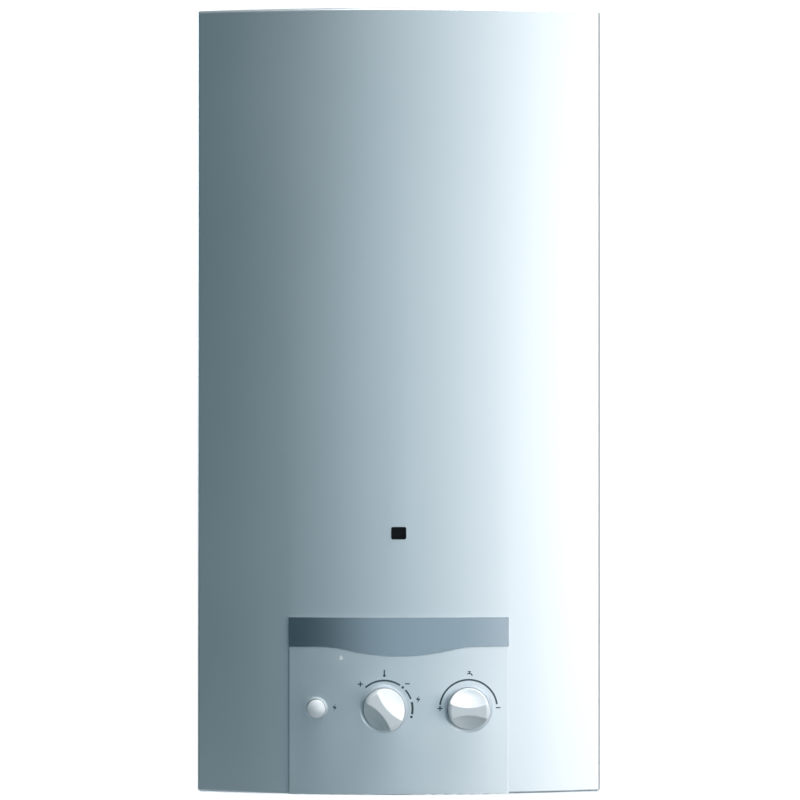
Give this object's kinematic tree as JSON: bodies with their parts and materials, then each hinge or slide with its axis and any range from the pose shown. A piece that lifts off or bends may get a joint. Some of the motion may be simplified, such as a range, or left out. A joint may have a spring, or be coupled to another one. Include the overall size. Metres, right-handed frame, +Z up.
{
  "type": "tankless gas water heater",
  "caption": "Wall-hung open-flue tankless gas water heater: bowed white casing, control panel with dark strip, turning knobs, push button, and burner, heat exchanger and valves inside.",
  "frame": {"origin": "on the wall plane, halfway between the two hook slots of the back plate", "axes": "+X to the right as seen from the front, +Y into the wall, +Z up"},
  "size_m": [0.35, 0.269, 0.68],
  "materials": {
    "casing_enamel": "powder coat, fine satin texture",
    "galvanised_sheet": "zinc-coated sheet",
    "panel_plastic": "fine satin moulding",
    "strip_plastic": "dark grey-blue, smooth",
    "knob_plastic": "smooth satin moulding",
    "black_plastic": "fine matt moulding",
    "mica_pane": "clear, slightly smoked",
    "copper": "drawn copper, lightly tarnished",
    "yellow_brass": "machined brass",
    "cast_alloy": "die cast, matt",
    "burner_steel": "stainless sheet, heat tinted",
    "plain_steel": "zinc-plated steel",
    "spring_steel": "bright wire",
    "screw_steel": "zinc-plated screws",
    "seal_rubber": "matt rubber",
    "cable_silicone": "red-brown silicone",
    "white_ceramic": "unglazed white",
    "filter_plastic": "moulded mesh"
  },
  "bodies": {
    "root": {"back_plate": "galvanised_sheet", "burner_bars": "burner_steel", "burner_frame": "burner_steel", "casing_screws": "screw_steel", "cold_inlet": "yellow_brass", "cold_pipe": "copper", "connection_bracket": "galvanised_sheet", "control_panel": "panel_plastic", "diaphragm": "seal_rubber", "diverter_baffle": "galvanised_sheet", "drain_plug": "yellow_brass", "draught_hood": "galvanised_sheet", "exchanger_brackets": "galvanised_sheet", "exchanger_fins": "copper", "exchanger_jacket": "copper", "exchanger_tubes": "copper", "flue_collar": "galvanised_sheet", "front_casing": "casing_enamel", "gas_inlet": "yellow_brass", "gas_manifold": "plain_steel", "gas_pipe": "plain_steel", "gas_valve_body": "cast_alloy", "gas_valve_cover": "cast_alloy", "gas_valve_spring": "spring_steel", "hot_outlet": "yellow_brass", "hot_pipe": "copper", "igniter_body": "black_plastic", "igniter_nut": "screw_steel", "igniter_spring": "spring_steel", "ignition_cable": "cable_silicone", "ignition_electrode": "white_ceramic", "injectors": "yellow_brass", "jacket_coil": "copper", "manifold_pipe": "plain_steel", "panel_strip": "strip_plastic", "pilot_burner": "yellow_brass", "pilot_gas_tube": "cast_alloy", "power_spring": "spring_steel", "safety_magnet": "yellow_brass", "safety_thermostats": "screw_steel", "selector_cap": "cast_alloy", "sight_frame": "black_plastic", "sight_glass": "mica_pane", "thermocouple": "copper", "union_nuts": "yellow_brass", "valve_bracket": "galvanised_sheet", "valve_screws": "screw_steel", "venturi_insert": "yellow_brass", "water_filter": "filter_plastic", "water_valve_body": "yellow_brass", "water_valve_cover": "yellow_brass"},
    "power_selector": {"rate_sleeve": "plain_steel"},
    "power_knob": {"power_knob": "knob_plastic", "power_plunger": "plain_steel"},
    "temperature_control": {"temperature_knob": "knob_plastic", "temperature_spindle": "yellow_brass"},
    "igniter_button": {"igniter_button": "knob_plastic"},
    "water_pushrod": {"pushrod": "yellow_brass"},
    "gas_valve_disc": {"gas_valve_disc": "seal_rubber"},
    "safety_armature": {"safety_armature": "plain_steel"}
  },
  "joints": [
    {"name": "power_turn", "type": "hinge", "parent": "root", "child": "power_selector", "pos_m": [-0.0125, -0.24, -0.5647], "axis": [0, 1, 0], "range_deg": [0, 147.8]},
    {"name": "power_push", "type": "slide", "parent": "power_selector", "child": "power_knob", "axis": [0, 1, 0], "range_m": [0, 0.005], "stiffness_N_per_m": 800, "springref_m": -0.006, "deforming": ["power_spring"]},
    {"name": "armature_travel", "type": "slide", "parent": "root", "child": "safety_armature", "axis": [0, 1, 0], "range_m": [0, 0.005]},
    {"name": "temperature_turn", "type": "hinge", "parent": "root", "child": "temperature_control", "pos_m": [0.0602, -0.24, -0.5647], "axis": [0, 1, 0], "range_deg": [0, 180]},
    {"name": "igniter_press", "type": "slide", "parent": "root", "child": "igniter_button", "axis": [0, 1, 0], "range_m": [0, 0.006], "stiffness_N_per_m": 600, "springref_m": -0.005, "deforming": ["igniter_spring"]},
    {"name": "pushrod_travel", "type": "slide", "parent": "root", "child": "water_pushrod", "axis": [-1, 0, 0], "range_m": [0, 0.004], "stiffness_N_per_m": 1200, "springref_m": -0.005, "deforming": ["diaphragm"]},
    {"name": "gas_disc_travel", "type": "slide", "parent": "root", "child": "gas_valve_disc", "axis": [-1, 0, 0], "range_m": [0, 0.004], "deforming": ["gas_valve_spring"]}
  ],
  "couplings": [
    {"joint": "armature_travel", "follows": "power_push", "ratio": 1},
    {"joint": "gas_disc_travel", "follows": "pushrod_travel", "ratio": 1}
  ]
}
